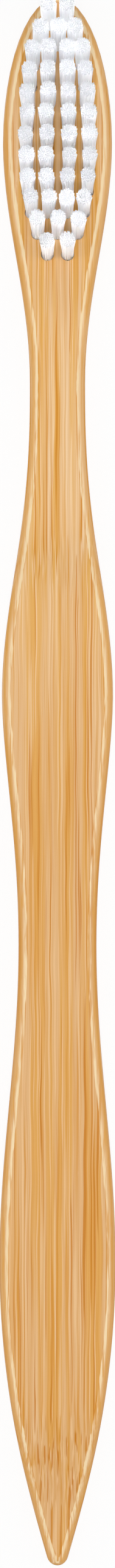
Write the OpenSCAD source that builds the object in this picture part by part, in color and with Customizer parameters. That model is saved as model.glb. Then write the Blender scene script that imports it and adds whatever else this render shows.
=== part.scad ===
// Manual toothbrush: a one-piece bamboo handle with nylon tufts held by metal anchors.
// The brush lies on its flat back: +Y runs to the tip of the head, +X across, +Z up the tufts.
// Places along the brush are measured from the tip of the head.

/* [Handle length] */
// Overall length, from the tip of the head to the tip of the tail
brush_l = 190; // [184:1:198]
// Where the head is widest
head_wide_at = 17.8; // [16:0.2:19.6]
// Where the neck is narrowest
neck_at = 46.6; // [43:0.2:50]
// Where the upper swell of the grip is widest
upper_at = 84.6; // [80:0.2:90]
// Where the waist of the grip is narrowest
waist_at = 114.5; // [108:0.5:120]
// Where the lower swell of the grip is widest
lower_at = 153.1; // [148:0.1:158]

/* [Handle width] */
// Width of the head
head_w = 13.2; // [12.8:0.1:14.4]
// Width of the neck
neck_w = 6.7; // [5.6:0.1:8]
// Width of the grip's upper swell
upper_w = 13.4; // [11.4:0.1:15]
// Width of the grip's waist
waist_w = 9.4; // [8:0.1:11]
// Width of the grip's lower swell
lower_w = 14; // [12:0.1:16]
// Radius of the tip of the tail, seen from the front
tail_r = 1.3; // [1.25:0.05:2]
// Slope of the tail's sides where they meet its tip, in degrees
tail_slope = 16.5; // [10:0.5:20]

/* [Handle thickness] */
// Thickness of the head
head_t = 5.6; // [5:0.1:7]
// Thickness of the neck
neck_t = 4.8; // [4.2:0.1:6]
// Thickness of the grip
grip_t = 6.8; // [5.8:0.1:8]
// Thickness of the tail at its tip
tail_t = 4.2; // [3.4:0.1:5.4]
// Where the front starts to fall from the head to the neck
neck_fall_at = 36.8; // [35.4:0.2:39]
// Length of the fall from the head to the neck
neck_fall_l = 9; // [7:0.5:12]
// Where the front starts to rise from the neck to the grip
grip_rise_at = 63.6; // [58:0.2:68]
// Length of the rise from the neck to the grip
grip_rise_l = 10; // [8:0.5:14]
// Where the front starts to fall to the tail
tail_fall_at = 168.5; // [162:0.5:172]
// Length of the fall to the tail
tail_fall_l = 18; // [12:0.5:20]
// Radius of the rounded edges
edge_r = 1.15; // [0.6:0.05:1.15]

/* [Tufts] */
// Length of the bristles above the head
bristle_l = 10.5; // [8:0.5:12]
// From the tip of the head to the middle of the first row
first_row_at = 3.5; // [3.2:0.1:4]
// Distance between rows
row_pitch = 2.52; // [2.4:0.02:2.6]
// From the side of the head to the middle of the outermost tufts
side_margin = 2.8; // [2.6:0.1:3]
// Wood left between the closest holes
hole_wall = 0.33; // [0.3:0.01:0.5]
// Depth of the blind holes
hole_depth = 3.2; // [2.8:0.1:3.6]
// Radial clearance of a tuft in its hole
tuft_gap = 0.02; // [0.01:0.01:0.05]
// How much wider a tuft is at its trimmed end than its hole is
tuft_flare = 0.2; // [0:0.02:0.24]
// How far the middle of a trimmed tuft stands above its rim
trim_dome = 0.25; // [0:0.05:0.4]

/* [Anchors] */
// Thickness of an anchor's flat wire
anchor_t = 0.3; // [0.2:0.02:0.4]
// Height of an anchor's flat wire
anchor_h = 1.3; // [1:0.1:1.6]
// How far each end of an anchor bites into the wood
anchor_bite = 0.2; // [0.1:0.02:0.3]
// Clearance round an anchor
anchor_gap = 0.02; // [0.01:0.01:0.04]
// Thickness of the fold of bristles under an anchor
fold_t = 0.45; // [0.3:0.05:0.6]

/* [Hidden] */
// Tufts in each row, from the tip of the head
row_counts = [2, 3, 4, 4, 4, 4, 4, 4, 4, 4, 3, 2];
// Reach of the outermost tufts of each row, as shares of the widest row's reach
row_reach_shares = [0.29, 0.56, 0.78, 0.85, 0.91, 0.97, 1, 0.99, 0.94, 0.83, 0.63, 0.32];
// Place of the inner pair in a row of four, as a share of the outer pair's
inner_pair_share = 0.35;

// How the sides of the outline lean between two widths: 1 is even, less turns sooner, more later
head_side_lean_share = 0.92;
neck_side_lean_share = 1.26;
upper_side_lean_share = 0.82;
waist_side_lean_share = 1;

// Corner of the edges, kept inside the round tip of the tail
corner_limit_share = 0.9;
corner_r = min(edge_r, corner_limit_share * tail_r);
// Spacing of the points along the sides, and steps round the ends and the edges
side_step = 1.7;
end_steps = 12;
tip_steps = 5;
edge_steps = 5;

// Strands of a tuft in its inner ring and its outer ring, and the sides of one strand
inner_strands = 3;
outer_strands = 7;
strand_sides = 4;
// Thickness of a strand across its corners, as a share of the hole's diameter
strand_w_share = 0.21;
// Place of the inner ring, as a share of the outer ring's radius
inner_ring_share = 0.38;
// Circle that holds the strands' roots, as a share of the plug's diameter, and their depth in it
root_circle_share = 0.95;
root_depth = 0.6;
// Length of the strands' pointed ends
point_l = 0.22;
// Turn between the strands of one tuft and the next
tuft_turn = 137.5;

// Overrun of a cut past the face that it opens
cut = 0.5;
$fn = 40;

reach = head_w / 2 - side_margin;
closest_share = min([
    for (row = [0:len(row_counts) - 1])
        let (places = side_places(row_counts[row]))
            for (k = [1:len(places) - 1])
                (places[k] - places[k - 1]) * row_reach_shares[row]
]);

// The holes take their diameter from the room across a row or between rows, whichever is less
hole_d = min(closest_share * reach, row_pitch - 2 * (anchor_bite + anchor_gap)) - hole_wall;
tuft_end_d = hole_d + tuft_flare;
strand_w = strand_w_share * hole_d;
plug_d = hole_d - 2 * tuft_gap;
anchor_l = hole_d + 2 * anchor_bite;
hole_floor_z = head_t - hole_depth;
anchor_z = hole_floor_z + tuft_gap + fold_t;

// One tuft is its node's name, its place across, and its place along the brush
tufts = [
    for (row = [0:len(row_counts) - 1])
        let (names = side_names(row_counts[row]), places = side_places(row_counts[row]))
            for (k = [0:row_counts[row] - 1])
                [
                    str("tuft_row", row < 9 ? "0" : "", row + 1, "_", names[k]),
                    places[k] * row_reach_shares[row] * reach,
                    brush_l / 2 - first_row_at - row * row_pitch
                ]
];

function side_names(count) =
    count == 2 ? ["left", "right"]
    : count == 3 ? ["left", "middle", "right"]
    : ["outer_left", "inner_left", "inner_right", "outer_right"];

function side_places(count) =
    count == 2 ? [-1, 1]
    : count == 3 ? [-1, 0, 1]
    : [-1, -inner_pair_share, inner_pair_share, 1];

// Smooth step from 0 to 1, level at both ends
function ease(u) = (1 - cos(180 * min(max(u, 0), 1))) / 2;

// Height of the front face above the flat back
function front_z(at) =
    head_t
    + (neck_t - head_t) * ease((at - neck_fall_at) / neck_fall_l)
    + (grip_t - neck_t) * ease((at - grip_rise_at) / grip_rise_l)
    + (tail_t - grip_t) * ease((at - tail_fall_at) / tail_fall_l);

// Round end of the head: a quarter of an ellipse, from its tip to its widest
head_end = [
    for (i = [0:end_steps])
        let (a = 90 * i / end_steps)
            [head_w / 2 * sin(a), head_wide_at * (1 - cos(a))]
];

// One side between two widths, without its first point
function side(at_a, at_b, w_a, w_b, lean_share) =
    let (steps = ceil((at_b - at_a) / side_step))
        [
            for (i = [1:steps])
                let (u = i / steps)
                    [(w_a + (w_b - w_a) * ease(pow(u, lean_share))) / 2, at_a + (at_b - at_a) * u]
        ];

// Side of the tail: a cubic that leaves the lower swell level and meets the tip at the tip's slope
tail_end_at = brush_l - tail_r * (1 - sin(tail_slope));
tail_end_x = tail_r * cos(tail_slope);
tail_run = tail_end_at - lower_at;
tail_steps = ceil(tail_run / side_step);
tail_side = [
    for (i = [1:tail_steps])
        let (
            u = i / tail_steps,
            lower_part = (2 * pow(u, 3) - 3 * pow(u, 2) + 1) * lower_w / 2,
            end_part = (3 * pow(u, 2) - 2 * pow(u, 3)) * tail_end_x,
            slope_part = (pow(u, 2) - pow(u, 3)) * tan(tail_slope) * tail_run
        )
            [lower_part + end_part + slope_part, lower_at + tail_run * u]
];

// Round tip of the tail
tail_tip = [
    for (i = [1:tip_steps])
        let (a = tail_slope + (90 - tail_slope) * i / tip_steps)
            [tail_r * cos(a), brush_l - tail_r * (1 - sin(a))]
];

// Right half of the outline, from the tip of the head to the tip of the tail
half = concat(
    head_end,
    side(head_wide_at, neck_at, head_w, neck_w, head_side_lean_share),
    side(neck_at, upper_at, neck_w, upper_w, neck_side_lean_share),
    side(upper_at, waist_at, upper_w, waist_w, upper_side_lean_share),
    side(waist_at, lower_at, waist_w, lower_w, waist_side_lean_share),
    tail_side,
    tail_tip
);
last = len(half) - 1;
loop_n = 2 * last;

// Whole outline as [across, along], and the direction into the wood at each point
outline = [for (i = [0:loop_n - 1]) i <= last ? half[i] : [-half[loop_n - i].x, half[loop_n - i].y]];
inward = [
    for (i = [0:loop_n - 1])
        let (chord = outline[(i + 1) % loop_n] - outline[(i + loop_n - 1) % loop_n])
            [-chord.y, chord.x] / norm(chord)
];

// The outline drawn in by inset, a little above the flat back or a little below the front face
function ring_at_back(inset, from_back) = [
    for (i = [0:loop_n - 1])
        let (p = outline[i] + inset * inward[i])
            [p.x, brush_l / 2 - p.y, from_back]
];
function ring_at_front(inset, from_front) = [
    for (i = [0:loop_n - 1])
        let (p = outline[i] + inset * inward[i])
            [p.x, brush_l / 2 - p.y, front_z(p.y) - from_front]
];

edge_turns = [for (k = [0:edge_steps]) 90 * k / edge_steps];
back_rings = [for (a = edge_turns) each ring_at_back(corner_r * (1 - sin(a)), corner_r * (1 - cos(a)))];
front_rings = [for (a = edge_turns) each ring_at_front(corner_r * (1 - cos(a)), corner_r * (1 - sin(a)))];
bands = 2 * edge_steps + 1;

wall_faces = [
    for (band = [0:bands - 1])
        for (i = [0:loop_n - 1])
            let (
                a = band * loop_n + i,
                b = band * loop_n + (i + 1) % loop_n,
                c = b + loop_n,
                d = a + loop_n
            )
                each [[a, b, c], [a, c, d]]
];

// Flat faces as strips across the brush, from one side of the outline to the other
function strip_faces(base) = [
    [base, base + 1, base + loop_n - 1],
    for (i = [1:last - 2])
        let (right = base + i, left = base + loop_n - i)
            each [[right, right + 1, left - 1], [right, left - 1, left]],
    [base + last - 1, base + last, base + last + 1]
];
back_faces = [for (f = strip_faces(0)) [f[2], f[1], f[0]]];
front_faces = strip_faces(bands * loop_n);

// Bamboo blank: the outline with both its edges rounded over
module blank() {
    polyhedron(
        points = concat(back_rings, front_rings),
        faces = concat(back_faces, wall_faces, front_faces),
        convexity = 6
    );
}

// Blind hole for one tuft, with the cut that its anchor makes across the grain
module tuft_hole() {
    translate([0, 0, hole_floor_z])
        cylinder(h = hole_depth + cut, d = hole_d);
    anchor_space(anchor_l + 2 * anchor_gap);
}

// Room round an anchor, as long as asked
module anchor_space(space_l) {
    space_t = anchor_t + 2 * anchor_gap;
    space_h = anchor_h + 2 * anchor_gap;
    translate([-space_t / 2, -space_l / 2, anchor_z - anchor_gap])
        cube([space_t, space_l, space_h]);
}

module handle() {
    color("burlywood")
        difference() {
            blank();
            for (t = tufts)
                translate([t[1], t[2], 0])
                    tuft_hole();
        }
}

// Flat wires that stand in the folds of the tufts, along the brush
module anchors() {
    color("goldenrod")
        for (t = tufts)
            translate([t[1] - anchor_t / 2, t[2] - anchor_l / 2, anchor_z])
                cube([anchor_t, anchor_l, anchor_h]);
}

// One strand of bristles from its foot to its pointed end
module strand(foot, end) {
    corners = [for (k = [0:strand_sides - 1]) strand_w / 2 * [cos(90 * k), sin(90 * k), 0]];
    shoulder = end - [0, 0, point_l];
    tip = 2 * strand_sides;
    polyhedron(
        points = concat([for (c = corners) foot + c], [for (c = corners) shoulder + c], [end]),
        faces = [
            for (k = [1:strand_sides - 2]) [0, k, k + 1],
            for (k = [0:strand_sides - 1])
                let (next = (k + 1) % strand_sides)
                    each [
                        [k, k + strand_sides, next + strand_sides],
                        [k, next + strand_sides, next],
                        [k + strand_sides, tip, next + strand_sides]
                    ]
        ]
    );
}

// Ring of strands that spreads from the hole to the trimmed end
module strand_ring(count, share, turn, end_z) {
    foot_r = share * (root_circle_share * plug_d - strand_w) / 2;
    end_r = share * (tuft_end_d - strand_w) / 2;
    for (k = [0:count - 1])
        let (a = turn + 360 * k / count, way = [cos(a), sin(a), 0])
            strand(foot_r * way + [0, 0, head_t - root_depth], end_r * way + [0, 0, end_z]);
}

// One tuft: its plug in the hole, folded round the anchor, and its strands
module tuft(index) {
    end_z = head_t + bristle_l;
    turn = tuft_turn * index;
    color("white")
        translate([tufts[index][1], tufts[index][2], 0])
            union() {
                difference() {
                    translate([0, 0, hole_floor_z + tuft_gap])
                        cylinder(h = hole_depth - tuft_gap, d = plug_d);
                    anchor_space(plug_d + 2 * cut);
                }
                strand_ring(outer_strands, 1, turn, end_z - trim_dome);
                strand_ring(inner_strands, inner_ring_share, turn, end_z);
            }
}

handle();
anchors();
for (i = [0:len(tufts) - 1])
    tuft(i);
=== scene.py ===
"""Manual toothbrush with a bamboo handle: finishes, folded bristles and stage for its frame."""

import math

import bpy
import numpy as np
from bpy.props import FloatProperty, FloatVectorProperty, IntProperty, PointerProperty
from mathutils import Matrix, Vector


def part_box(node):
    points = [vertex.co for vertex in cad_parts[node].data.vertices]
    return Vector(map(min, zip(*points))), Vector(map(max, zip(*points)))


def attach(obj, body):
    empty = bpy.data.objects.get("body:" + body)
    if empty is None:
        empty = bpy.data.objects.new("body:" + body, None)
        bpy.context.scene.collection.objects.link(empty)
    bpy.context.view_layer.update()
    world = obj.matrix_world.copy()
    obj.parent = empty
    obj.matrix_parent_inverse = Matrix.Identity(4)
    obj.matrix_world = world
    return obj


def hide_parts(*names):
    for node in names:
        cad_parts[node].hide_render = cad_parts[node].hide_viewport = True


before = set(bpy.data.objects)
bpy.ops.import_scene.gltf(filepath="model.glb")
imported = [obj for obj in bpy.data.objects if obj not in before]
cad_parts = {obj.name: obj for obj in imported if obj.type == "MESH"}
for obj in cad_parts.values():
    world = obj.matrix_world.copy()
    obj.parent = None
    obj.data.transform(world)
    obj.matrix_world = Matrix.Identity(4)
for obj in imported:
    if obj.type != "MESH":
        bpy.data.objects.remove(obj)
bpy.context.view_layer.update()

bl_info = {
    "name": "Bamboo Toothbrush",
    "version": (1, 0, 0),
    "blender": (4, 5, 0),
    "location": "3D View > Sidebar > Toothbrush",
    "description": "Oiled bamboo, folded nylon tufts and a studio stage for the packed toothbrush",
    "category": "Object",
}

BODY = "root"
TUFT_PREFIX = "tuft_"
MM = 0.001

# Places along the brush, from its middle towards the tip of the head
TAIL_SLOPE = (-70 * MM, -30 * MM)
GRIP_Y = -10 * MM
NECK_Y = 45 * MM
HEAD_Y = 65 * MM
HEAD_BLEND = (50 * MM, HEAD_Y)

# Bands down the rounded edge by its tilt, which is 0 on the level faces and 1 on the sides: where
# each starts, where it is full, where it starts to fade and where it ends. The rounded band is
# painted paler and the rim cream, partly the paler sanded wood and partly a painted highlight;
# below the rim and on the sides the wood is darkened as painted shade
BRINK = (0.02, 0.05, 0.09, 0.16)
SANDED_RIM_AND_HIGHLIGHT = (0.07, 0.15, 0.32, 0.46)
ROUNDED = (0.12, 0.3, 0.6, 0.85)
BELOW_RIM_SHADE = (0.42, 0.6, 0.7, 0.95)
SIDE_SHADE = (0.7, 0.95)

# Draws of the noise in the wood, and how far apart in the noise two draws lie
STRIPS, CROWDED, TONE, PALE, DARK, BUNDLES, SCUFFS, SWAY = range(1, 9)
DRAW_STEP = (7.3, 3.1, 5.7)

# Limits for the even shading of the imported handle
WELD = 0.001 * MM
SHARP_ANGLE = math.radians(35)

# A filament above the head's face: heights from 0 there to 1 at its end, then the rings of its
# rounded end, with their heights and widths as shares of its radius
RISES = np.array([0, 0.25, 0.5, 0.75, 0.92, 1.0])
CAP_RISES = 0.7 * np.array([0.5, 0.85, 1.0])
CAP_WIDTHS = np.array([0.94, 0.7, 0.0])

# The turns of a filament's fold, from one side of the anchor under it to the other
FOLD_TURNS = np.radians([30, 60, 90, 120, 150])

PLUG_SLICE = 0.3 * MM        # Height of the slice of a packed plug that is measured
END_ERROR = 0.06             # How unevenly wide the trimmed ends are
COLUMN_EDGE = 0.1            # Share of a bake column that is left free on each side
HEX_ROW = math.sqrt(0.75)    # Distance between rows of packed circles, for a diameter of 1
GOLDEN_ANGLE = math.pi * (3 - math.sqrt(5))

# Name, place, size across and along the brush, and the setting that holds the power
LIGHTS = (
    ("Left light", (-0.32, 0, 0.27), (0.07, 0.6), "side_light"),
    ("Tail light", (0, -0.42, 0.55), (0.06, 0.2), "end_light"),
    ("Right light", (0.32, 0, 0.27), (0.07, 0.6), "side_light"),
    ("Head light", (0, 0.42, 0.55), (0.06, 0.2), "end_light"),
    ("Top light", (0, -0.05, 0.6), (0.03, 0.3), "top_light"),
)
FLOOR_HALF = 12
FLOOR_WHITE = 0.88           # Share of plain white in what the camera sees of the floor
WHITE = (1, 1, 1, 1)
SENSOR_W = 36
CLIP = (0.01, 50)


def screen_colour(red, green, blue):
    """A colour as a screen shows it, from 0 to 255, as the linear values that shaders take."""
    return tuple(
        c / 255 / 12.92 if c <= 10 else ((c / 255 + 0.055) / 1.055) ** 2.4
        for c in (red, green, blue)
    )


# Sizes and colours


def length(name, description, default):
    return FloatProperty(
        name=name, description=description, default=default, min=0, precision=6, unit="LENGTH"
    )


def colour(name, description, *shown):
    return FloatVectorProperty(
        name=name,
        description=description,
        default=screen_colour(*shown),
        min=0,
        max=1,
        size=3,
        subtype="COLOR",
    )


def share(name, description, default):
    return FloatProperty(
        name=name, description=description, default=default, min=0, max=1, subtype="FACTOR"
    )


def amount(name, description, default, lowest=0):
    return FloatProperty(name=name, description=description, default=default, min=lowest)


class BambooLook(bpy.types.PropertyGroup):
    wood: colour("Wood", "Ground colour of the bamboo at the neck", 243, 203, 155)
    warm_wood: colour("Warm wood", "Ground colour of the sugar-rich strips", 240, 186, 106)
    pale_fibre: colour("Pale fibre", "Colour of the pale fibres", 252, 217, 172)
    dark_fibre: colour("Dark fibre", "Colour of the dark fibres", 229, 163, 68)
    bundle: colour("Fibre bundle", "Colour of the few thick fibre bundles", 217, 140, 36)
    # Partly the paler sanded wood, partly a painted highlight along the rounded edge
    rim: colour("Sanded rim", "Colour of the wood where the sanded edge begins", 255, 230, 185)
    # Painted shade: the wood darkened low on the sides
    side_shade_tint: colour("Side tint", "Tint that the wood takes low on the sides", 253, 246, 236)
    grip_tint: colour("Grip tint", "Tint from the grip down, fainter on the head", 243, 233, 218)
    strip_w: length("Strip", "Width over which the ground colour changes", 0.9 * MM)
    fibre_w: length("Fibre", "Width of a fibre", 0.12 * MM)
    fibre_l: length("Fibre length", "Length over which a fibre changes its tone", 22 * MM)
    fibre_deep: length("Fibre depth", "Thickness of a layer of fibres", 0.85 * MM)
    waver: length("Waver", "How far a fibre strays from a straight line", 0.1 * MM)
    groove: length("Groove", "Depth of the grooves between fibres", 0.01 * MM)
    roughness: share("Roughness", "Roughness of the oiled wood", 0.6)


class BristleLook(bpy.types.PropertyGroup):
    # The ends are painted greyer than the walls: painted shade that evens out the stronger light
    # on the ends
    end: colour("End", "Colour of the filaments' rounded ends", 230, 231, 234)
    tip: colour("Tip", "Colour of the nylon towards the trimmed ends", 250, 250, 253)
    root: colour("Root", "Colour of the nylon near the head", 246, 248, 252)
    end_l: length("End length", "How far down a filament its rounded end shows", 0.2 * MM)
    light_spread: length("Light spread", "How far light spreads inside the nylon", 15 * MM)
    roughness: share("Roughness", "Roughness of the nylon", 0.45)


class WireLook(bpy.types.PropertyGroup):
    metal: colour("Metal", "Colour of the drawn brass wire", 206, 172, 108)
    scratch_w: length("Scratch", "Spacing of the drawing marks", 0.05 * MM)


class TuftSizes(bpy.types.PropertyGroup):
    filament_d: length("Filament", "Thickness of one filament", 0.2 * MM)
    pinched_d: length("Pinched filament", "Its thickness beside the anchor", 0.135 * MM)
    head_face: length("Head face", "Height of the head's face, where the holes open", 5.6 * MM)
    end_w: length("Trimmed end", "Width of a tuft across its trimmed end", 2.05 * MM)
    dome: length("Dome", "How far the middle of a trimmed tuft stands above its rim", 0.6 * MM)
    flare: amount("Flare", "Power of the height by which a tuft opens; less opens lower", 2, 0.1)
    tip_flare: amount("Flare at the tip", "The same towards the tip of the head", 0.4, 0.1)
    tip_rows: length("Tip rows", "Place past which the tufts open lower", 77.6 * MM)
    tip_blend: length("Tip blend", "Length over which the tufts' opening changes", 3.8 * MM)
    anchor_foot: length("Anchor foot", "Height of the anchor above its hole's floor", 0.47 * MM)
    anchor_h: length("Anchor height", "Height of the anchor's flat wire", 1.3 * MM)
    anchor_gap: length("Anchor gap", "Half the room that the anchor takes in the fold", 0.17 * MM)
    stray: length("Stray", "How far a filament strays at its end", 0.045 * MM)
    lean: length("Lean", "How far a whole tuft leans at its end", 0.15 * MM)
    cut_error: length("Cut error", "How unevenly the ends are trimmed", 0.03 * MM)
    sides: IntProperty(
        name="Sides", description="Faces round one filament", default=6, min=3, max=12
    )
    seed: IntProperty(
        name="Seed", description="Draw of the filaments' small differences", default=11
    )


class StageSettings(bpy.types.PropertyGroup):
    floor: colour("Floor", "Colour of the floor", 254, 254, 254)
    camera_height: length("Camera height", "Height of the camera above the floor", 365.5 * MM)
    camera_along: FloatProperty(
        name="Camera along",
        description="Place of the camera along the brush",
        default=-0.13 * MM,
        precision=6,
        unit="LENGTH",
    )
    view_angle: FloatProperty(
        name="View angle",
        description="Angle that the long side of the picture takes in",
        default=math.radians(29.44),
        subtype="ANGLE",
        unit="ROTATION",
    )
    side_light: amount("Side lights", "Power of each side light in watts", 0.33)
    top_light: amount("Top light", "Power of the top light in watts", 1.53)
    end_light: amount("End lights", "Power of each end light in watts", 0.2)
    room_light: amount("Room light", "Strength of the light from all round", 0.27)


# Materials


class Channel:
    """An output of a node. Sums and products of channels add Math nodes."""

    def __init__(self, recipe, socket):
        self.recipe = recipe
        self.socket = socket

    def __add__(self, other):
        return self.recipe.maths("ADD", self, other)

    def __sub__(self, other):
        return self.recipe.maths("SUBTRACT", self, other)

    def __rsub__(self, other):
        return self.recipe.maths("SUBTRACT", other, self)

    def __mul__(self, other):
        return self.recipe.maths("MULTIPLY", self, other)

    __radd__ = __add__
    __rmul__ = __mul__


class Recipe:
    """The nodes of a material, a world or a node group."""

    def __init__(self, owner):
        self.owner = owner
        if isinstance(owner, bpy.types.NodeTree):
            self.tree = owner
        else:
            owner.use_nodes = True
            self.tree = owner.node_tree
        self.tree.nodes.clear()

    def node(self, kind, settings=None, inputs=None, output=0):
        """Adds a node. Its settings come first, then the values or links of its sockets."""
        made = self.tree.nodes.new(kind)
        for name, value in (settings or {}).items():
            setattr(made, name, value)
        for name, value in (inputs or {}).items():
            socket = made.inputs[name]
            if isinstance(value, Channel):
                self.tree.links.new(value.socket, socket)
            else:
                socket.default_value = value
        return Channel(self, made.outputs[output]) if len(made.outputs) else None

    def maths(self, operation, first, second=0):
        return self.node("ShaderNodeMath", {"operation": operation}, {0: first, 1: second})

    def vectors(self, operation, first, second):
        return self.node("ShaderNodeVectorMath", {"operation": operation}, {0: first, 1: second})

    def axes(self, vector):
        """The x, y and z of a vector."""
        split = self.node("ShaderNodeSeparateXYZ", inputs={0: vector})
        return [Channel(self, socket) for socket in split.socket.node.outputs]

    def mix(self, amount, first, second, blend="MIX"):
        """Blends two colours, each a channel or three numbers."""
        first, second = (c if isinstance(c, Channel) else (*c, 1) for c in (first, second))
        settings = {"data_type": "RGBA", "blend_type": blend, "clamp_factor": True}
        # A Mix node's colours are its inputs 6 and 7 and its output 2
        return self.node("ShaderNodeMix", settings, {0: amount, 6: first, 7: second}, 2)

    def step(self, value, low, high):
        """Rises smoothly from 0 where value is low to 1 where it is high."""
        inputs = {"Value": value, "From Min": low, "From Max": high}
        return self.node("ShaderNodeMapRange", {"interpolation_type": "SMOOTHSTEP"}, inputs)

    def band(self, value, start, full, fade, end):
        """Is 1 where value lies between full and fade, and 0 before start and after end."""
        return self.step(value, start, full) * self.step(value, end, fade)

    def grain(self, place, across, along, deep, draw=1, detail=2):
        """Noise that changes over these lengths across, along and into the brush."""
        spread = self.vectors("MULTIPLY", place, (1 / across, 1 / along, 1 / deep))
        drawn = self.vectors("ADD", spread, tuple(draw * step for step in DRAW_STEP))
        return self.node("ShaderNodeTexNoise", {}, {"Vector": drawn, "Scale": 1, "Detail": detail})

    def finish(self, constants, spreading="RANDOM_WALK", **changing):
        """Closes the tree with a Principled shader. Spreading is how light moves about inside."""
        named = {name.replace("_", " "): value for name, value in changing.items()}
        shader = self.node(
            "ShaderNodeBsdfPrincipled", {"subsurface_method": spreading}, {**constants, **named}
        )
        self.node("ShaderNodeOutputMaterial", {}, {"Surface": shader})
        return self.owner


def fibres(wood, place, look, deep, bundled):
    """Colour, height and tone of the fibres along the brush, thin across and deeper inwards."""
    wide, long = look.fibre_w, look.fibre_l

    # From the widest changes to the finest
    strips = wood.grain(place, look.strip_w, 3 * long, 3 * deep, STRIPS, 1)
    crowded = wood.grain(place, 0.9 * look.strip_w, 2 * long, 2 * deep, CROWDED, 1)
    tone = wood.grain(place, 1.5 * wide, long, 1.2 * deep, TONE)
    pale = wood.grain(place, 2 * wide, 1.4 * long, deep, PALE, 1)
    dark = wood.grain(place, 1.6 * wide, 1.6 * long, deep, DARK, 1)
    bundles = wood.grain(place, 2.2 * wide, 2 * long, 1.3 * deep, BUNDLES, 1)

    ground = wood.mix(wood.step(strips, 0.36, 0.64), look.wood, look.warm_wood)
    # Noise, the level where a layer starts to show and where it is full, its strength and colour
    layers = (
        (tone, 0.56, 0.3, 0.5, look.dark_fibre),
        (pale, 0.54, 0.64, 0.75, look.pale_fibre),
        (dark, 0.56, 0.64, 0.35 + wood.step(crowded, 0.4, 0.62) * 0.6, look.dark_fibre),
        (bundles, 0.63, 0.67, bundled, look.bundle),
    )
    for noise, start, full, strength, tint in layers:
        ground = wood.mix(wood.step(noise, start, full) * strength, ground, tint)
    return ground, tone + pale * 0.6, tone


def oiled_bamboo(look):
    """Fibres that run through the whole blank and show wherever the surface cuts them."""
    wood = Recipe(bpy.data.materials.new("Oiled bamboo"))
    straight = wood.node("ShaderNodeTexCoord", output="Object")
    facing = wood.node("ShaderNodeTexCoord", output="Normal")
    _, along, up = wood.axes(straight)
    sideways, endways = (wood.maths("ABSOLUTE", axis) for axis in wood.axes(facing)[:2])
    deep = look.fibre_deep

    # The fibres waver. Past the tail their layers are drawn out, so the front cuts fewer of them
    sway = (wood.grain(straight, 2 * MM, 9 * MM, 4 * MM, SWAY, 1) - 0.5) * (4 * look.waver)
    drop = (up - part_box("handle")[1].z) * -0.6 * wood.step(along, *TAIL_SLOPE)
    shift = wood.node("ShaderNodeCombineXYZ", inputs={0: sway, 2: drop})
    place = wood.vectors("ADD", straight, shift)

    # The front and back show the fibres' width, and the sides show their depth
    ground, height, tone = fibres(wood, place, look, deep, 0.85)
    x, y, z = wood.axes(place)
    turned = wood.node("ShaderNodeCombineXYZ", inputs={0: z, 1: y, 2: x})
    side_ground, side_height, _ = fibres(wood, turned, look, 3 * deep, 0.3)
    from_side = wood.step(sideways, 0.5, 0.8)
    ground = wood.mix(from_side, ground, side_ground)
    height = height + from_side * (side_height - height)
    warmer = wood.step(along, NECK_Y, GRIP_Y) + wood.step(along, NECK_Y, HEAD_Y) * 0.4
    ground = wood.mix(warmer, ground, look.grip_tint, "MULTIPLY")

    # The faces slope a little along the brush, so a tilt that way counts less
    tilt = wood.maths("MAXIMUM", sideways, endways * 1.3 - 0.4)
    scuffs = wood.grain(place, 2 * look.fibre_w, 3.5 * MM, 0.5 * deep, SCUFFS)
    # The rim: a cream band, partly the paler sanded wood and partly a painted highlight
    rim = wood.band(tilt + (scuffs - 0.5) * 0.3, *SANDED_RIM_AND_HIGHLIGHT)
    unbroken = wood.step(scuffs + tone + wood.step(along, *HEAD_BLEND) * 0.18, 0.85, 1.1)
    rounded = wood.band(tilt, *ROUNDED)
    # What is laid over the ground down the rounded edge, its strength and its colour
    layers = (
        (wood.band(tilt, *BRINK) * wood.step(tone, 0.62, 0.42), 0.6, look.bundle),
        # Painted paler down the rounded edge: partly the sanded wood, partly a painted highlight
        (rounded, 0.3, look.pale_fibre),
        (rounded * wood.step(scuffs, 0.46, 0.36), 0.5, look.dark_fibre),
        # The cream rim: partly the paler sanded wood, partly a painted highlight
        (rim * unbroken, 0.9, look.rim),
        (rounded * wood.step(scuffs, 0.56, 0.66), 0.4, look.pale_fibre),
        # Painted shade: darker and more orange low on the rounded edge
        (wood.band(tilt, *BELOW_RIM_SHADE), 0.45, look.dark_fibre),
    )
    for shown, strength, tint in layers:
        ground = wood.mix(shown * strength, ground, tint)
    # Painted shade: the sides darkened by the side tint
    ground = wood.mix(wood.step(tilt, *SIDE_SHADE), ground, look.side_shade_tint, "MULTIPLY")

    grooves = wood.node(
        "ShaderNodeBump", {}, {"Strength": 1, "Distance": look.groove, "Height": height}
    )
    return wood.finish(
        {"Coat Weight": 0.03, "Coat Roughness": 0.45, "Specular IOR Level": 0.12},
        Base_Color=ground,
        Roughness=look.roughness + (tone - 0.5) * 0.3,
        Normal=grooves,
    )


def white_nylon(look, root_z, tip_z):
    """Nylon with its rounded ends painted greyer than its walls, as painted shade that evens out
    the stronger light on the ends, and with a tone of its own for each filament.
    """
    nylon = Recipe(bpy.data.materials.new("White nylon"))
    place = nylon.node("ShaderNodeTexCoord", output="Object")
    height = nylon.axes(place)[2]
    tone, below_end = (
        nylon.node("ShaderNodeAttribute", {"attribute_name": name}, output="Fac")
        for name in ("tone", "below_end")
    )
    towards_tip = nylon.step(height, root_z, tip_z) * (0.85 + tone * 0.15)
    wall = nylon.mix(towards_tip, look.root, look.tip)
    # Painted shade: the rounded ends greyer, to even out the stronger light they get
    painted_end_shade = nylon.step(below_end, 1.5 * look.end_l, 0.5 * look.end_l)
    cloud = nylon.grain(place, 0.3 * MM, 1.2 * MM, 3 * MM)
    return nylon.finish(
        {
            "Specular IOR Level": 0.12,
            "Subsurface Weight": 1,
            "Subsurface Radius": (1, 1, 1),
            "Subsurface Scale": look.light_spread,
        },
        "BURLEY",
        Base_Color=nylon.mix(painted_end_shade, wall, look.end),
        Roughness=look.roughness + (cloud - 0.5) * 0.2,
    )


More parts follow.
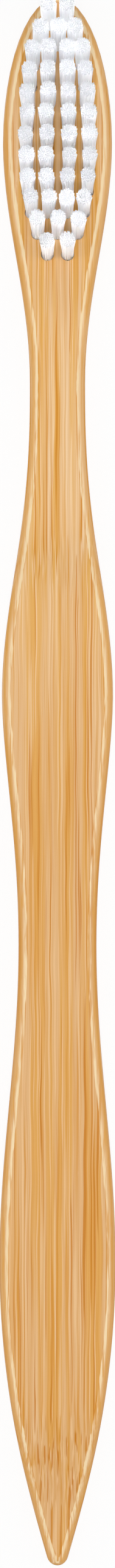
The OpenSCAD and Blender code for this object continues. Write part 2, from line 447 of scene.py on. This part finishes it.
def drawn_brass(look):
    """Flat brass wire with marks from the drawing die along it."""
    wire = Recipe(bpy.data.materials.new("Drawn brass"))
    place = wire.node("ShaderNodeTexCoord", output="Object")
    marks = wire.grain(place, look.scratch_w, 40 * look.scratch_w, look.scratch_w)
    worn = tuple(0.7 * c for c in look.metal)
    grooves = wire.node("ShaderNodeBump", {}, {"Distance": 0.1 * look.scratch_w, "Height": marks})
    return wire.finish(
        {"Metallic": 1},
        Base_Color=wire.mix(wire.step(marks, 0.3, 0.7), worn, look.metal),
        Roughness=0.25 + marks * 0.2,
        Normal=grooves,
    )


# Handle and anchors


def dress(node_name, material):
    """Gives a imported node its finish."""
    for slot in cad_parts[node_name].material_slots:
        slot.material = material


def soften_shading(node_name):
    """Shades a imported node's rounded edges evenly, without a change to its mesh."""
    group = bpy.data.node_groups.new("Even shading", "GeometryNodeTree")
    for way in ("INPUT", "OUTPUT"):
        group.interface.new_socket("Geometry", in_out=way, socket_type="NodeSocketGeometry")
    shading = Recipe(group)
    angle = shading.node("GeometryNodeInputMeshEdgeAngle", output="Unsigned Angle")
    compared = {0: angle, 1: SHARP_ANGLE}
    gentle = shading.node("FunctionNodeCompare", {"operation": "LESS_THAN"}, compared)
    mesh = shading.node("NodeGroupInput")
    for kind, settings, inputs in (
        ("GeometryNodeMergeByDistance", {}, {"Distance": WELD}),
        ("GeometryNodeRemoveAttribute", {}, {"Name": "custom_normal"}),
        ("GeometryNodeSetShadeSmooth", {}, {}),
        ("GeometryNodeSetShadeSmooth", {"domain": "EDGE"}, {"Shade Smooth": gentle}),
    ):
        mesh = shading.node(kind, settings, {"Geometry": mesh, **inputs})
    shading.node("NodeGroupOutput", {}, {0: mesh})

    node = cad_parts[node_name]
    node.modifiers.new("Even shading", "NODES").node_group = group
    node.modifiers.new("Level faces", "WEIGHTED_NORMAL").keep_sharp = True


# Tufts


def hole_of(node_name):
    """Middle, radius and floor of the hole that a tuft's node fills."""
    points = np.array([v.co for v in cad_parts[node_name].data.vertices])
    floor = points[:, 2].min()
    plug = points[points[:, 2] < floor + PLUG_SLICE]
    low, high = plug.min(0), plug.max(0)
    return (low + high)[:2] / 2, (high[0] - low[0]) / 2, floor


def legs_in_hole(radius, sizes):
    """Places of the filaments' legs on one side of the anchor, in rows as close as they pack."""
    d = sizes.pinched_d
    room = radius - d / 2
    x = sizes.anchor_gap + d / 2
    places = []
    while x <= room:
        count = int(2 * math.sqrt(room**2 - x**2) / d) + 1
        places += [(x, (k - (count - 1) / 2) * d) for k in range(count)]
        x += d * HEX_ROW
    return np.array(places)


def ends_of_legs(legs, radius):
    """Places in the round trimmed end for each side's legs, in the order that they have below."""
    count = len(legs)
    turn = GOLDEN_ANGLE * np.arange(2 * count)
    out = radius * np.sqrt((np.arange(2 * count) + 0.5) / (2 * count))
    spiral = np.stack([out * np.cos(turn), out * np.sin(turn)], axis=1)
    across = spiral[spiral[:, 0].argsort()]
    # Row by row outwards from the anchor, and along the anchor in each row
    ends = np.empty((2, count, 2))
    for side, outwards in enumerate((across[count:], across[:count][::-1])):
        for x in np.unique(legs[:, 0]):
            row = np.flatnonzero(legs[:, 0] == x)
            first = np.count_nonzero(legs[:, 0] < x)
            places = outwards[first : first + len(row)]
            ends[side, row] = places[places[:, 1].argsort()]
    return ends


def small_errors(draw, limit, shape):
    """Random distances either way, mostly under half this limit and never past it."""
    return draw.normal(0, limit / 2, shape).clip(-limit, limit)


def unit(vectors):
    """These vectors, each with a length of 1."""
    return vectors / np.linalg.norm(vectors, axis=-1, keepdims=True)


def filament_paths(radius, floor, tip_z, flare, sizes, draw):
    """Middle lines and radii of a tuft's filaments, which the anchor folds into two legs each.

    Above the anchor neighbours overlap, because they are too thick to lie side by side there.
    """
    legs = legs_in_hole(radius, sizes)
    count = len(legs)
    r = sizes.filament_d / 2
    pinched_r = sizes.pinched_d / 2
    foot = floor + sizes.anchor_foot
    face = sizes.head_face
    reach = sizes.end_w / 2 - r
    room = radius - r
    lean = small_errors(draw, sizes.lean, 2)
    spread = 1 + draw.uniform(-END_ERROR, END_ERROR)
    bend = RISES[:, None] ** flare
    sway = np.sin(math.pi * RISES)[:, None]

    halves = []
    for way, ends in zip((1, -1), ends_of_legs(legs, reach * spread)):
        beside_anchor = [
            [(way * x, y, z) for z in (foot, foot + sizes.anchor_h)] for x, y in legs
        ]
        # Above the anchor the two halves close up and the tuft turns round
        closed = ends * room / reach
        trimmed = ends + lean + small_errors(draw, sizes.stray, (2, count)).T
        out = np.hypot(*ends.T) / reach
        end_z = tip_z - sizes.dome * out**2 - np.abs(draw.normal(0, sizes.cut_error / 2, count))
        bow = draw.normal(0, sizes.stray / 2, (2, count)).T
        plan = closed[:, None] + (trimmed - closed)[:, None] * bend + bow[:, None] * sway
        height = face + (end_z - r - face)[:, None] * RISES
        leg = np.concatenate([beside_anchor, np.dstack([plan, height])], axis=1)
        heading = unit(leg[:, -1:] - leg[:, -2:-1])
        cap = leg[:, -1:] + heading * (r * CAP_RISES)[:, None]
        halves.append(np.concatenate([leg, cap], axis=1))

    # The fold under the anchor: nested half ellipses, pressed flat on the floor of the hole
    nest = (legs[:, 0] - sizes.anchor_gap) / (room - sizes.anchor_gap)
    depth = (sizes.anchor_foot - 2 * pinched_r) * nest + pinched_r
    fold = np.dstack(
        [
            np.outer(legs[:, 0], np.cos(FOLD_TURNS)),
            np.repeat(legs[:, 1:], len(FOLD_TURNS), axis=1),
            foot - np.outer(depth, np.sin(FOLD_TURNS)),
        ]
    )
    paths = np.concatenate([halves[0][:, ::-1], fold, halves[1]], axis=1)
    up = [pinched_r] * 2 + [(pinched_r + r) / 2] + [r] * (len(RISES) - 1) + list(r * CAP_WIDTHS)
    radii = np.array(up[::-1] + [pinched_r] * len(FOLD_TURNS) + up)
    return paths, radii


def tube_mesh(name, paths, radii, sides, tones):
    """One mesh of closed round tubes along these paths, each with a column of its bake map."""
    tubes, points = paths.shape[:2]
    heading = unit(np.gradient(paths, axis=1))
    across = unit(np.cross(heading, (0.0, 1.0, 0.0)))
    along = np.cross(across, heading)
    turns = 2 * np.pi * np.arange(sides)[:, None] / sides
    rings = paths[:, :, None] + radii[:, None, None] * (
        across[:, :, None] * np.cos(turns) + along[:, :, None] * np.sin(turns)
    )
    # The first and the last ring have no width, so a point takes the place of each
    inner = points - 2
    first, last = inner * sides, inner * sides + 1
    per_tube = inner * sides + 2
    vertices = np.concatenate(
        [rings[:, 1:-1].reshape(tubes, -1, 3), paths[:, :1], paths[:, -1:]], axis=1
    )
    lengths = np.linalg.norm(np.diff(paths, axis=1), axis=2).cumsum(axis=1).mean(0)
    rows = np.concatenate([[0], lengths / lengths[-1]])
    below_end = lengths[-1] * np.minimum(rows, 1 - rows)
    below_end = np.concatenate([np.repeat(below_end[1:-1], sides), below_end[[0, -1]]])

    # One tube's faces and its column of the map, then the same for every tube
    faces, column = [], []
    columns = COLUMN_EDGE + (1 - 2 * COLUMN_EDGE) * np.arange(sides + 1) / sides
    end = (inner - 1) * sides
    for k in range(sides):
        after = (k + 1) % sides
        left, right = columns[k], columns[k + 1]
        middle = (left + right) / 2
        faces.append((first, k, after))
        column += [(middle, rows[0]), (left, rows[1]), (right, rows[1])]
        for ring in range(inner - 1):
            a, b = ring * sides + k, ring * sides + after
            faces.append((a, a + sides, b + sides, b))
            low, high = rows[ring + 1], rows[ring + 2]
            column += [(left, low), (left, high), (right, high), (right, low)]
        faces.append((end + after, end + k, last))
        column += [(right, rows[-2]), (left, rows[-2]), (middle, rows[-1])]
    starts = range(0, tubes * per_tube, per_tube)
    faces = [[start + corner for corner in face] for start in starts for face in faces]
    bake_map = np.tile(column, (tubes, 1, 1))
    bake_map[:, :, 0] = (np.arange(tubes)[:, None] + bake_map[:, :, 0]) / tubes

    mesh = bpy.data.meshes.new(name)
    mesh.from_pydata(vertices.reshape(-1, 3).tolist(), [], faces)
    mesh.uv_layers.new(name="OFBake").uv.foreach_set("vector", bake_map.ravel())
    traits = {"tone": np.repeat(tones, per_tube), "below_end": np.tile(below_end, tubes)}
    for trait, values in traits.items():
        mesh.attributes.new(trait, "FLOAT", "POINT").data.foreach_set("value", values)
    mesh.polygons.foreach_set("use_smooth", [True] * len(faces))
    mesh.update()
    return mesh


def plant_row(row, tufts, material, sizes):
    """Replaces a row's plain strands with filaments that are folded round their anchors."""
    paths, tones = [], []
    for node_name, seed in tufts.items():
        draw = np.random.default_rng(seed)
        middle, radius, floor = hole_of(node_name)
        tip_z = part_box(node_name)[1].z
        towards_tip = min(max((middle[1] - sizes.tip_rows) / sizes.tip_blend, 0), 1)
        flare = sizes.flare + (sizes.tip_flare - sizes.flare) * towards_tip
        tuft_paths, radii = filament_paths(radius, floor, tip_z, flare, sizes, draw)
        tuft_paths[:, :, :2] += middle
        paths.append(tuft_paths)
        tones.append(draw.uniform(0, 1, len(tuft_paths)))
    name = "bristles_" + row
    mesh = tube_mesh(name, np.concatenate(paths), radii, sizes.sides, np.concatenate(tones))
    mesh.materials.append(material)
    bristles = bpy.data.objects.new(name, mesh)
    bpy.context.scene.collection.objects.link(bristles)
    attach(bristles, BODY)
    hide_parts(*tufts)


# Stage


def area_light(name, place, size, watts):
    """A soft light that faces the middle of the brush, longer along the brush than across."""
    data = bpy.data.lights.new(name, "AREA")
    data.shape = "RECTANGLE"
    data.size, data.size_y = size
    data.energy = watts
    light = bpy.data.objects.new(name, data)
    light.location = place
    light.rotation_euler = Vector(place).to_track_quat("Z", "Y").to_euler()
    light.visible_camera = False
    bpy.context.scene.collection.objects.link(light)


def studio_floor(settings):
    """Pale floor that looks nearly white to the camera and still takes the brush's shadow."""
    stage = Recipe(bpy.data.materials.new("Studio floor"))
    ray = stage.node("ShaderNodeLightPath", output="Is Camera Ray")
    paint = stage.node("ShaderNodeBsdfDiffuse", {}, {"Color": (*settings.floor, 1)})
    white = stage.node("ShaderNodeEmission", {}, {"Color": WHITE, "Strength": 1})
    both = stage.node("ShaderNodeMixShader", {}, {0: ray * FLOOR_WHITE, 1: paint, 2: white})
    stage.node("ShaderNodeOutputMaterial", {}, {"Surface": both})
    mesh = bpy.data.meshes.new("Studio floor")
    corners = ((-1, -1, 0), (1, -1, 0), (1, 1, 0), (-1, 1, 0))
    mesh.from_pydata([Vector(corner) * FLOOR_HALF for corner in corners], [], [(0, 1, 2, 3)])
    mesh.materials.append(stage.owner)
    floor = bpy.data.objects.new("studio_floor", mesh)
    bpy.context.scene.collection.objects.link(floor)


def studio_room(settings):
    """Even light from all round, and white where the camera looks past the floor."""
    room = Recipe(bpy.data.worlds.new("Studio room"))
    bpy.context.scene.world = room.owner
    ray = room.node("ShaderNodeLightPath", output="Is Camera Ray")
    strengths = {0: ray, 2: settings.room_light, 3: 1}
    strength = room.node("ShaderNodeMix", {"data_type": "FLOAT"}, strengths)
    light = room.node("ShaderNodeBackground", {}, {"Color": WHITE, "Strength": strength})
    room.node("ShaderNodeOutputWorld", {}, {"Surface": light})


def place_camera(settings):
    """Straight above the brush, its head at the top of the picture."""
    data = bpy.data.cameras.new("Camera")
    data.sensor_width = SENSOR_W
    data.lens = data.sensor_width / 2 / math.tan(settings.view_angle / 2)
    data.clip_start, data.clip_end = CLIP
    camera = bpy.data.objects.new("Camera", data)
    camera.location = (0, settings.camera_along, settings.camera_height)
    bpy.context.scene.collection.objects.link(camera)
    bpy.context.scene.camera = camera


# Operators and panel


class TOOTHBRUSH_OT_oil_handle(bpy.types.Operator):
    """Give the handle its oiled bamboo"""

    bl_idname = "toothbrush.oil_handle"
    bl_label = "Oil the Handle"

    def execute(self, context):
        dress("handle", oiled_bamboo(context.scene.toothbrush_bamboo))
        soften_shading("handle")
        return {"FINISHED"}


class TOOTHBRUSH_OT_draw_anchors(bpy.types.Operator):
    """Give the anchors their drawn brass"""

    bl_idname = "toothbrush.draw_anchors"
    bl_label = "Draw the Anchors"

    def execute(self, context):
        dress("anchors", drawn_brass(context.scene.toothbrush_wire))
        return {"FINISHED"}


class TOOTHBRUSH_OT_plant_tufts(bpy.types.Operator):
    """Fill each hole with folded filaments"""

    bl_idname = "toothbrush.plant_tufts"
    bl_label = "Plant the Tufts"

    def execute(self, context):
        sizes = context.scene.toothbrush_tufts
        names = sorted(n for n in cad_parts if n.startswith(TUFT_PREFIX))
        tip_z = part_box(names[0])[1].z
        material = white_nylon(context.scene.toothbrush_bristle, sizes.head_face, tip_z)
        rows = {}
        for seed, name in enumerate(names, sizes.seed):
            rows.setdefault(name.split("_")[1], {})[name] = seed
        for row, tufts in rows.items():
            plant_row(row, tufts, material, sizes)
        return {"FINISHED"}


class TOOTHBRUSH_OT_set_stage(bpy.types.Operator):
    """Set up the floor, the lights and the camera"""

    bl_idname = "toothbrush.set_stage"
    bl_label = "Set the Stage"

    def execute(self, context):
        settings = context.scene.toothbrush_stage
        studio_floor(settings)
        studio_room(settings)
        place_camera(settings)
        for name, place, size, setting in LIGHTS:
            area_light(name, place, size, getattr(settings, setting))
        context.scene.view_settings.view_transform = "Standard"
        return {"FINISHED"}


OPERATORS = (
    TOOTHBRUSH_OT_oil_handle,
    TOOTHBRUSH_OT_draw_anchors,
    TOOTHBRUSH_OT_plant_tufts,
    TOOTHBRUSH_OT_set_stage,
)
GROUPS = {
    "toothbrush_bamboo": BambooLook,
    "toothbrush_bristle": BristleLook,
    "toothbrush_wire": WireLook,
    "toothbrush_tufts": TuftSizes,
    "toothbrush_stage": StageSettings,
}


class TOOTHBRUSH_PT_panel(bpy.types.Panel):
    """Sizes, colours and steps of the toothbrush"""

    bl_idname = "TOOTHBRUSH_PT_panel"
    bl_label = "Toothbrush"
    bl_space_type = "VIEW_3D"
    bl_region_type = "UI"
    bl_category = "Toothbrush"

    def draw(self, context):
        for group in GROUPS:
            box = self.layout.box()
            settings = getattr(context.scene, group)
            for name in settings.__annotations__:
                box.prop(settings, name)
        for operator in OPERATORS:
            self.layout.operator(operator.bl_idname)


def register():
    for group_name, group in GROUPS.items():
        bpy.utils.register_class(group)
        setattr(bpy.types.Scene, group_name, PointerProperty(type=group))
    for cls in (*OPERATORS, TOOTHBRUSH_PT_panel):
        bpy.utils.register_class(cls)


def unregister():
    for cls in (TOOTHBRUSH_PT_panel, *reversed(OPERATORS)):
        bpy.utils.unregister_class(cls)
    for group_name, group in GROUPS.items():
        delattr(bpy.types.Scene, group_name)
        bpy.utils.unregister_class(group)


def main():
    register()
    bpy.ops.toothbrush.oil_handle()
    bpy.ops.toothbrush.draw_anchors()
    bpy.ops.toothbrush.plant_tufts()
    bpy.ops.toothbrush.set_stage()


if __name__ == "__main__":
    main()
